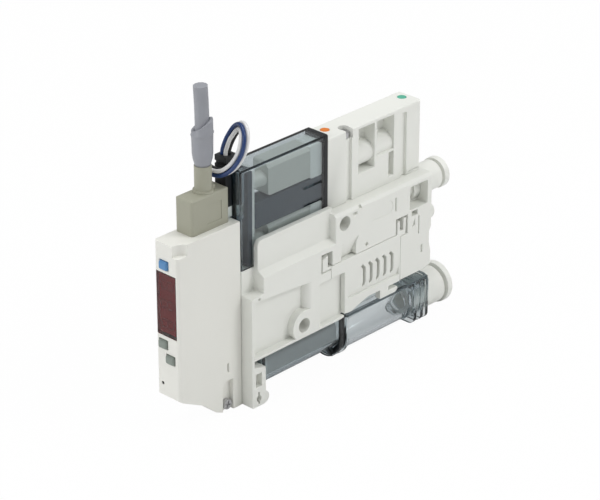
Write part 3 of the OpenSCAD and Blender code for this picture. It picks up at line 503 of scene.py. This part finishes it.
def room_beside(edge, outline_of, reach):
    """How far the edge can be rounded before it meets what else bounds its two flat areas."""
    room = reach
    for loop in edge.link_loops:
        a, b = loop.vert.co, loop.link_loop_next.vert.co
        inward = loop.face.normal.cross((b - a).normalized())
        low = [min(a[i], b[i]) - reach for i in range(3)]
        high = [max(a[i], b[i]) + reach for i in range(3)]
        for other in outline_of[loop.face]:
            c, d = (v.co for v in other.verts)
            far = any(max(c[i], d[i]) < low[i] or min(c[i], d[i]) > high[i] for i in range(3))
            if far or other is edge:
                continue
            shared = set(other.verts) & set(edge.verts)
            if shared:
                room = min(room, room_at_corner(edge, other, shared.pop(), inward))
            else:
                room = min(room, room_across(a, b, c, d, inward))
    return room


def chains(edges):
    """Groups sharp edges that run on into one another, so that each group is rounded alike."""
    grouped = set()
    groups = []
    for edge in sorted(edges, key=lambda e: e.index):
        if edge in grouped:
            continue
        grouped.add(edge)
        group = [edge]
        groups.append(group)
        for one in group:
            for corner in one.verts:
                back = direction(one, corner)
                for other in edges.intersection(corner.link_edges) - grouped:
                    if direction(other, corner).dot(back) < RUNS_ON:
                        grouped.add(other)
                        group.append(other)
    return groups


def merged(node):
    """A copy of a CAD node's mesh with its loose triangles joined and its flats made whole."""
    bm = bmesh.new()
    bm.from_mesh(NODES[node].data)
    bmesh.ops.remove_doubles(bm, verts=bm.verts, dist=SAME_CORNER)
    bmesh.ops.dissolve_limit(
        bm, angle_limit=SAME_FLAT, use_dissolve_boundaries=False,
        verts=bm.verts, edges=bm.edges, delimit=set(),
    )
    return bm


def strays(made, surface, limit, low, high):
    """Places where a rounded mesh folds, or leaves its CAD node's surface or box."""
    shaped = made.evaluated_get(bpy.context.evaluated_depsgraph_get()).to_mesh()
    shaped.calc_loop_triangles()
    found = set()
    for triangle in shaped.loop_triangles:
        corners = [shaped.vertices[i].co for i in triangle.vertices]
        middle = (corners[0] + corners[1] + corners[2]) / 3
        face = shaped.polygons[triangle.polygon_index]
        turned_over = triangle.normal.dot(face.normal) < 0
        folded = turned_over and len(face.vertices) > 4 and triangle.area > FOLD_AREA
        beyond = any(
            c[i] < low[i] - PAST_BOX or c[i] > high[i] + PAST_BOX for c in corners for i in range(3)
        )
        if folded or beyond or surface.find_nearest(middle)[3] > limit:
            found.update(tuple(round(v / GRID) for v in c) for c in corners)
    return [Vector(f) * GRID for f in found]


def spare_tight_edges(made, node, radius, groups):
    """Narrows the rounding of any chain of edges whose rounding would leave the node's surface."""
    solid = NODES[node].data
    surface = BVHTree.FromPolygons([v.co for v in solid.vertices], [p.vertices for p in solid.polygons])
    low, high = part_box(node)
    mesh = made.data
    weights = mesh.attributes["bevel_weight_edge"].data
    ends = [[mesh.vertices[i].co for i in e.vertices] for e in mesh.edges]
    for _ in range(TRIES):
        places = strays(made, surface, ASTRAY * radius * MM, low, high)
        if not places:
            return
        for group in groups:
            weight = weights[group[0]].value
            gaps = ((nearest_on(p, *ends[i]) - p).length for p in places for i in group)
            if weight > 0 and any(gap < TO_BLAME for gap in gaps):
                less = weight * LEFT
                for i in group:
                    weights[i].value = less if less > LEAST_WEIGHT else 0.0
                    mesh.edges[i].use_edge_sharp = less <= LEAST_WEIGHT
        mesh.update()


def moulded(node, slot, radius, finish=None, segments=2, body=BODY):
    """A CAD node with its sharp edges rounded by that many millimetres, as a moulding's are.

    Its finish has the slot's name if none is given.
    """
    bm = merged(node)
    bm.normal_update()
    bm.edges.index_update()
    width = radius * MM
    weight = bm.edges.layers.float.new("bevel_weight_edge")
    outline_of = flat_areas(bm)
    sharp = {e for e in bm.edges if len(e.link_faces) == 2 and e.calc_face_angle(0.0) > SHARP}
    groups = []
    for group in chains(sharp):
        room = min(room_beside(edge, outline_of, REACH * width) for edge in group)
        share = min(1.0, TAKEN * room / width)
        if share * width < NARROWEST:
            for edge in group:
                edge.smooth = False
        else:
            for edge in group:
                edge[weight] = share
            groups.append([edge.index for edge in group])
    made = to_object(bm, node + "_moulded", finish_of(finish or slot))
    soft = made.modifiers.new("rounded edges", "BEVEL")
    soft.limit_method = "WEIGHT"
    soft.width = width
    soft.segments = segments
    soft.use_clamp_overlap = False
    soft.harden_normals = True
    spare_tight_edges(made, node, radius, groups)
    flat = made.modifiers.new("flat faces", "WEIGHTED_NORMAL")
    flat.mode = "FACE_AREA"
    flat.keep_sharp = True
    settle(made, node, body)


def dress(node, finish):
    """Gives a CAD node that stays as it is its finish."""
    materials = NODES[node].data.materials
    materials.clear()
    materials.append(finish_of(finish))


def soft_box(bm, low, high, radius):
    """Adds a box between two corners, with every edge bevelled."""
    made = bmesh.ops.create_cube(bm, size=1.0)["verts"]
    place = Matrix.Translation((low + high) / 2) @ Matrix.Diagonal((*(high - low), 1.0))
    bmesh.ops.transform(bm, matrix=place, verts=made)
    edges = {e for v in made for e in v.link_edges}
    bmesh.ops.bevel(
        bm, geom=list(edges), offset=radius, offset_type="OFFSET", segments=1,
        profile=0.5, affect="EDGES", clamp_overlap=True, material=-1,
    )


# ---- Operators: the stage ----


class EJECTOR_OT_stage(bpy.types.Operator):
    """Makes the camera, the lamps, the pale floor and the white surroundings"""

    bl_idname = "ejector.stage"
    bl_label = "Stage"

    CAMERA_PLACE = Vector((-505.0, -478.5, 382.9)) * MM
    AZIMUTH = math.radians(-46.3)
    ELEVATION = math.radians(26.4)

    # Name, place from the unit's middle, width and power in watts
    LAMPS = (
        ("key_lamp", Vector((0.45, -0.75, 0.75)), 0.5, 4.4),
        ("left_lamp", Vector((-0.95, 0.25, 0.35)), 0.5, 3.2),
        ("top_lamp", Vector((0.0, 0.15, 1.1)), 0.7, 5.2),
    )

    # Share of plain white in the floor where it is seen directly and through a clear part, and
    # the strength of the surroundings where they only light the unit
    WHITE_DIRECT = 0.975
    WHITE_THROUGH = 0.55
    ROOM_LIGHT = 0.42

    def execute(self, context):
        self.camera(context)
        for lamp in self.LAMPS:
            self.lamp(*lamp)
        self.floor()
        self.surroundings(context)
        return {"FINISHED"}

    def camera(self, context):
        data = bpy.data.cameras.new("camera")
        data.lens = sizes().camera_lens
        data.sensor_width = 36.0
        data.clip_start = 0.01
        data.clip_end = 20.0
        made = bpy.data.objects.new("camera", data)
        a, e = self.AZIMUTH, self.ELEVATION
        back = Vector((math.sin(a) * math.cos(e), -math.cos(a) * math.cos(e), math.sin(e)))
        made.location = self.CAMERA_PLACE
        made.rotation_euler = (-back).to_track_quat("-Z", "Y").to_euler()
        context.scene.collection.objects.link(made)
        context.scene.camera = made

    def lamp(self, name, place, size, power):
        data = bpy.data.lights.new(name, "AREA")
        data.size = size
        data.energy = power
        made = bpy.data.objects.new(name, data)
        made.location = (CAD_BOX[0] + CAD_BOX[1]) / 2 + place
        made.rotation_euler = (-place).to_track_quat("-Z", "Y").to_euler()
        bpy.context.scene.collection.objects.link(made)

    def floor(self):
        bm = bmesh.new()
        bmesh.ops.create_grid(bm, x_segments=1, y_segments=1, size=4.0)
        bmesh.ops.translate(bm, vec=(0, 0, -0.05 * MM), verts=bm.verts)
        f = Finish("pale_floor")
        grey = f.mix(f.noise(40, 2.0), [0.84, 0.84, 0.84, 1], [0.86, 0.86, 0.86, 1])
        f.set(Base_Color=grey, Roughness=0.9)
        rays = f.node("ShaderNodeLightPath").outputs
        through = Value(f, rays["Is Transmission Ray"]) * self.WHITE_THROUGH
        seen = (Value(f, rays["Is Camera Ray"]) * self.WHITE_DIRECT).larger(through)
        f.blend(seen, f.node("ShaderNodeEmission", None, {"Color": [1, 1, 1, 1], "Strength": 1.0}))
        to_object(bm, "floor", f.material, smooth=False)

    def surroundings(self, context):
        """White where they are seen, also through clear parts, and dimmer where they only light."""
        world = bpy.data.worlds.new("white_room")
        context.scene.world = world
        world.use_nodes = True
        room = Wiring(world.node_tree)
        rays = room.node("ShaderNodeLightPath").outputs
        seen = Value(room, rays["Is Camera Ray"]).larger(Value(room, rays["Is Transmission Ray"]))
        sockets = {0: seen}
        for socket, strength in ((1, self.ROOM_LIGHT), (2, 1.0)):
            inputs = {"Color": [1, 1, 1, 1], "Strength": strength}
            sockets[socket] = room.node("ShaderNodeBackground", None, inputs).outputs[0]
        mixed = room.node("ShaderNodeMixShader", None, sockets)
        room.node("ShaderNodeOutputWorld", None, {0: mixed.outputs[0]})
        context.scene.view_settings.view_transform = "Standard"


# ---- Operators: cords ----

# Centre line of the leads' bow, in millimetres from the body's lower front corner
LEAD_ROUTE = [
    (0.25, 10, 77.2), (0.25, 10, 79.2), (0.9, 9.6, 81.6), (2, 9.4, 83.3), (2.9, 8.5, 85.4),
    (2.8, 6.8, 86.8), (2, 4.8, 87), (0.6, 2.9, 85.4), (-0.4, 2.5, 82.4), (-0.8, 3.7, 79.1),
    (-2.2, 5, 76.4), (-3.8, 7.1, 74.6), (-4.3, 10, 74), (-4.3, 13, 74.3),
]
LEAD_PITCH = 1.35
LEAD_DIAMETER = 0.0012
LEAD_STEPS = 66

# The leads with their slots, in the order of the connector's places, two and two
LEADS = (
    ("lead_black", "wire_black"), ("lead_white", "wire_white"),
    ("lead_white_2", "wire_white"), ("lead_blue", "wire_blue"),
)

CABLE_PLACE = (-9.1, 9.65)
CABLE_HEIGHTS = (69.5, 78, 92.9, 101.8)
CABLE_LEAN = 0.4
CABLE_DIAMETER = 0.0042
CABLE_STEPS = 16


def smooth_route(points, count):
    """Points evenly along a smooth curve through the route's points."""
    last = len(points) - 1
    made = []
    for k in range(count):
        t = k * last / (count - 1)
        i = min(int(t), last - 1)
        u = t - i
        a, b, c, d = (Vector(points[min(max(j, 0), last)]) for j in (i - 1, i, i + 1, i + 2))
        square = (2 * a - 5 * b + 4 * c - d) * u * u
        cube = (3 * b - a - 3 * c + d) * u**3
        made.append(0.5 * (2 * b + (c - a) * u + square + cube))
    return made


def beside(route, across, over):
    """The route of one lead of the bundle, set off from the bundle's centre line."""
    made = []
    for k, point in enumerate(route):
        tangent = (route[min(k + 1, len(route) - 1)] - route[max(k - 1, 0)]).normalized()
        side = tangent.cross(Vector((1, 0, 0))).normalized()
        made.append(point + across * side + over * tangent.cross(side))
    return made


def cord_piece(name, points, diameter, material):
    """A round cord along points, as an open curve."""
    data = bpy.data.curves.new(name, "CURVE")
    data.dimensions = "3D"
    spline = data.splines.new("POLY")
    spline.points.add(len(points) - 1)
    for spot, p in zip(spline.points, points):
        spot.co = (*p, 1.0)
    spline.use_smooth = True
    data.bevel_depth = diameter / 2
    data.bevel_resolution = 4
    data.use_fill_caps = True
    made = bpy.data.objects.new(name, data)
    bpy.context.scene.collection.objects.link(made)
    made.data.materials.append(material)
    return made


def length_of(points):
    return sum((b - a).length for a, b in zip(points, points[1:]))


class EJECTOR_OT_cords(bpy.types.Operator):
    """Lays the sensor cable and the four free leads of the valve"""

    bl_idname = "ejector.cords"
    bl_label = "Cable and leads"

    def execute(self, context):
        self.sensor_cable()
        route = smooth_route(LEAD_ROUTE, LEAD_STEPS)
        for i, (node, slot) in enumerate(LEADS):
            across = (i // 2 - 0.5) * LEAD_PITCH
            over = (i % 2 - 0.5) * LEAD_PITCH
            points = [CORNER + p * MM for p in beside(route, across, over)]
            made = cord_piece(node + "_wire", points, LEAD_DIAMETER, finish_of(slot))
            settle(made, node)
            length_of(points)
        return {"FINISHED"}

    def sensor_cable(self):
        x, y = CABLE_PLACE
        route = [Vector((x, y, z)) for z in CABLE_HEIGHTS]
        route[-1].x -= CABLE_LEAN
        points = [CORNER + p * MM for p in smooth_route(route, CABLE_STEPS)]
        made = cord_piece("sensor_cable_jacket", points, CABLE_DIAMETER, finish_of("cable_jacket"))
        settle(made, "sensor_cable")
        length_of(points)


# ---- Operators: pieces ----


class EJECTOR_OT_plug(bpy.types.Operator):
    """Builds the cable's moulded plug with its sleeve, and the valve's connector"""

    bl_idname = "ejector.plug"
    bl_label = "Plug and connector"

    SLEEVE_SIDES = 40
    SLEEVE_BORE = 2.12 * MM

    # Rings of the sleeve, from below: share of its height, and of its radius or None at its bore
    SLEEVE_RINGS = (
        (0.0, 0.74), (0.07, 0.80), (0.16, 0.9), (0.3, 0.97), (0.5, 0.98), (0.75, 1.0), (0.77, 1.05),
        (0.79, 1.05), (0.81, 1.0), (0.98, 0.99), (1.0, 0.96), (1.0, None), (0.93, None),
    )

    # The slanted cut at its upper end: its middle, its rise to one side, which side, and how
    # soon the slant fades below
    CUT_RISE = -1.5 * MM
    CUT_SLANT = 1.85 * MM
    CUT_TURN = math.radians(-46)
    CUT_FADE = 6

    def execute(self, context):
        moulded("cable_plug", "beige_resin", 0.3)
        self.shrunk_sleeve()
        moulded("valve_connector", "black_resin", 0.15)
        dress("terminal_pins", "brass")
        return {"FINISHED"}

    def shrunk_sleeve(self):
        """Shrunk sleeve that narrows into the boot; its cut end slants towards the near right."""
        low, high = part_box("cable_sleeve")
        middle = (low + high) / 2
        radius = (high.x - low.x) / 2
        height = high.z - low.z + self.CUT_RISE
        bm = bmesh.new()
        side = [
            bm.verts.new((radius * girth if girth else self.SLEEVE_BORE, 0, share * height))
            for share, girth in self.SLEEVE_RINGS
        ]
        edges = [bm.edges.new(pair) for pair in zip(side, side[1:])]
        bmesh.ops.spin(
            bm, geom=side + edges, cent=(0, 0, 0), axis=(0, 0, 1), dvec=(0, 0, 0),
            angle=math.tau, steps=self.SLEEVE_SIDES, use_merge=True, use_duplicate=False,
        )
        rims = [e for e in bm.edges if e.is_boundary]
        bmesh.ops.holes_fill(bm, edges=rims, sides=self.SLEEVE_SIDES)
        bmesh.ops.recalc_face_normals(bm, faces=bm.faces)
        for vert in bm.verts:
            turn = math.atan2(vert.co.y, vert.co.x) - self.CUT_TURN
            fade = max(0.0, vert.co.z / height) ** self.CUT_FADE
            vert.co.z += self.CUT_SLANT * fade * math.cos(turn)
        bmesh.ops.translate(bm, vec=(middle.x, middle.y, low.z), verts=bm.verts)
        made = to_object(bm, "cable_sleeve_shrunk", finish_of("cable_jacket"))
        settle(made, "cable_sleeve")


class EJECTOR_OT_body(bpy.types.Operator):
    """Builds the ejector body, its exhaust cover and what works inside them"""

    bl_idname = "ejector.body"
    bl_label = "Ejector body"

    def execute(self, context):
        moulded("ejector_body", "white_resin", sizes().edge / MM)
        moulded("exhaust_cover", "white_resin", 0.2)
        dress("silencer", "felt")
        dress("nozzle", "brass")
        dress("diffuser", "brass")
        dress("check_valve", "rubber")
        return {"FINISHED"}


class EJECTOR_OT_valve(bpy.types.Operator):
    """Builds the valve block with its spools, override buttons and needle screw"""

    bl_idname = "ejector.valve"
    bl_label = "Valve block"

    def execute(self, context):
        moulded("valve_body", "valve_resin", sizes().edge / MM)
        moulded("end_plug", "valve_resin", 0.2)
        moulded("needle_screw", "steel", 0.1, body="needle_screw")
        for node, slot in (("supply_override", "orange"), ("release_override", "green")):
            moulded(node, slot, 0.15, body=node)
        dress("supply_spool", "spool_metal")
        dress("release_spool", "spool_metal")
        dress("port_seals", "rubber")
        return {"FINISHED"}


class EJECTOR_OT_hood(bpy.types.Operator):
    """Builds the smoky cover with the solenoids that show through it"""

    bl_idname = "ejector.hood"
    bl_label = "Solenoids and cover"

    def execute(self, context):
        moulded("hood", "smoke", 0.2)
        moulded("adapter_frame", "black_resin", 0.2)
        # the dark coil frame behind the coils also paints the shade inside the smoky cover
        moulded("coil_frame", "black_resin", 0.2, finish="frame_resin")
        for node in ("supply_solenoid", "release_solenoid"):
            moulded(node, "coil_resin", 0.3)
        for node in ("supply_pilot", "release_pilot", "contact_carrier"):
            moulded(node, "inner_resin", 0.25)
        return {"FINISHED"}


class EJECTOR_OT_switch(bpy.types.Operator):
    """Builds the pressure switch with its display and push buttons"""

    bl_idname = "ejector.switch"
    bl_label = "Pressure switch"

    # Segments of a digit as lines on a grid two wide and four high, from and to; the room that a
    # digit takes in steps of the grid; a segment's half width and the gap at its ends, in steps
    SEGMENTS = (
        ((0, 0), (2, 0)), ((0, 2), (2, 2)), ((0, 4), (2, 4)), ((0, 0), (0, 2)), ((0, 2), (0, 4)),
        ((2, 0), (2, 2)), ((2, 2), (2, 4)),
    )
    DIGITS = 3
    DIGIT_WIDE = 3.2
    DIGIT_TALL = 5.2
    SEGMENT_HALF = 0.17
    SEGMENT_GAP = 0.25
    SEGMENT_OUT = 0.12 * MM
    SEGMENT_EDGE = 0.05 * MM

    # Place of the dark disc from the corner of the body; it lies that far behind the front and paints
    # the hole's shade
    HOLE_SHADE_PLACE = (11.2 * MM, 14.6 * MM)
    HOLE_SHADE_RADIUS = 0.5 * MM
    HOLE_SHADE_DEPTH = 0.5 * MM
    HOLE_SHADE_BACK = 0.12 * MM

    def execute(self, context):
        moulded("switch_case", "switch_resin", 0.3)
        moulded("display_window", "display", 0.15)
        moulded("led_display", "black_resin", 0.2, finish="digit_module")
        for node, slot in (("set_key", "blue_key"), ("up_key", "grey_key"), ("down_key", "grey_key")):
            moulded(node, slot, 0.75, segments=5, body=node)
        moulded("switch_screw", "steel", 0.12)
        dress("circuit_board", "board")
        dress("pressure_sensor", "steel")
        self.digits()
        # a dark disc paints the shade inside the hole in the case's front
        self.hole_shade_disc()
        return {"FINISHED"}

    def hole_shade_disc(self):
        """Dark disc just inside the hole in the case's front; it paints the shade inside the hole."""
        bm = bmesh.new()
        bmesh.ops.create_cone(
            bm, cap_ends=True, segments=24, radius1=self.HOLE_SHADE_RADIUS, radius2=0.8 * self.HOLE_SHADE_RADIUS,
            depth=self.HOLE_SHADE_DEPTH,
        )
        quarter = Matrix.Rotation(math.radians(-90), 3, "Y")
        bmesh.ops.rotate(bm, cent=(0, 0, 0), matrix=quarter, verts=bm.verts)
        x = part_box("switch_case")[0].x + self.HOLE_SHADE_BACK + self.HOLE_SHADE_DEPTH / 2
        y, z = self.HOLE_SHADE_PLACE
        bmesh.ops.translate(bm, vec=(x, CORNER.y + y, z), verts=bm.verts)
        settle(to_object(bm, "hole_shade_disc", finish_of("black_resin")))

    def digits(self):
        """Unlit segments on the digit module, one digit above another and turned a quarter."""
        low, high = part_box("led_display")
        bm = bmesh.new()
        pitch = (high.z - low.z) / self.DIGITS
        unit = min((high.y - low.y) / self.DIGIT_TALL, pitch / self.DIGIT_WIDE)
        half = self.SEGMENT_HALF * unit
        for digit in range(self.DIGITS):
            middle = Vector((low.x, (low.y + high.y) / 2, low.z + pitch * (digit + 0.5)))
            for ends in self.SEGMENTS:
                start, stop = (Vector((0, (q[1] - 2) * unit, (q[0] - 1) * unit)) for q in ends)
                along = (stop - start).normalized()
                gap = along * unit * self.SEGMENT_GAP
                spare = Vector((0, half * (1 - abs(along.y)), half * (1 - abs(along.z))))
                start += middle + gap - spare
                start.x -= self.SEGMENT_OUT
                soft_box(bm, start, middle + stop - gap + spare, self.SEGMENT_EDGE)
        settle(to_object(bm, "digit_segments", finish_of("digit")))


class EJECTOR_OT_filter(bpy.types.Operator):
    """Builds the clear suction filter, its element, its seal and the clear housing behind"""

    bl_idname = "ejector.filter"
    bl_label = "Suction filter"

    def execute(self, context):
        moulded("filter_case", "clear", 0.25)
        moulded("vacuum_housing", "clear", 0.25, finish="clear_housing")
        dress("filter_element", "filter_media")
        moulded("filter_cap", "inner_resin", 0.2)
        moulded("filter_seal", "rubber", 0.2)
        return {"FINISHED"}


class EJECTOR_OT_ports(bpy.types.Operator):
    """Builds the push-in fittings with their release collars, the fork and the pilot plug"""

    bl_idname = "ejector.ports"
    bl_label = "Ports"

    def execute(self, context):
        for node in ("supply_fitting", "vacuum_fitting", "port_clip", "pilot_plug"):
            moulded(node, "white_resin", 0.25)
        for node in ("supply_collar", "vacuum_collar"):
            moulded(node, "valve_resin", 0.4, segments=3, body=node)
        return {"FINISHED"}


class EJECTOR_PT_panel(bpy.types.Panel):
    """Lists the steps that build the ejector"""

    bl_idname = "EJECTOR_PT_panel"
    bl_label = "Vacuum Ejector"
    bl_space_type = "VIEW_3D"
    bl_region_type = "UI"
    bl_category = "Ejector"

    def draw(self, context):
        for group in (context.scene.ejector_sizes, context.scene.ejector_colours):
            for name in group.__annotations__:
                self.layout.prop(group, name)
        for step in STEPS:
            self.layout.operator(step.bl_idname)


STEPS = (
    EJECTOR_OT_stage, EJECTOR_OT_plug, EJECTOR_OT_cords, EJECTOR_OT_body, EJECTOR_OT_valve,
    EJECTOR_OT_hood, EJECTOR_OT_switch, EJECTOR_OT_filter, EJECTOR_OT_ports,
)
CLASSES = (EjectorColours, EjectorSizes, *STEPS, EJECTOR_PT_panel)


def register():
    for each in CLASSES:
        bpy.utils.register_class(each)
    bpy.types.Scene.ejector_colours = bpy.props.PointerProperty(type=EjectorColours)
    bpy.types.Scene.ejector_sizes = bpy.props.PointerProperty(type=EjectorSizes)


def unregister():
    del bpy.types.Scene.ejector_sizes
    del bpy.types.Scene.ejector_colours
    for each in reversed(CLASSES):
        bpy.utils.unregister_class(each)


def main():
    register()
    for step in STEPS:
        group, name = step.bl_idname.split(".")
        if getattr(getattr(bpy.ops, group), name)() != {"FINISHED"}:
            raise RuntimeError(f"{step.bl_label} was not finished")


if __name__ == "__main__":
    main()
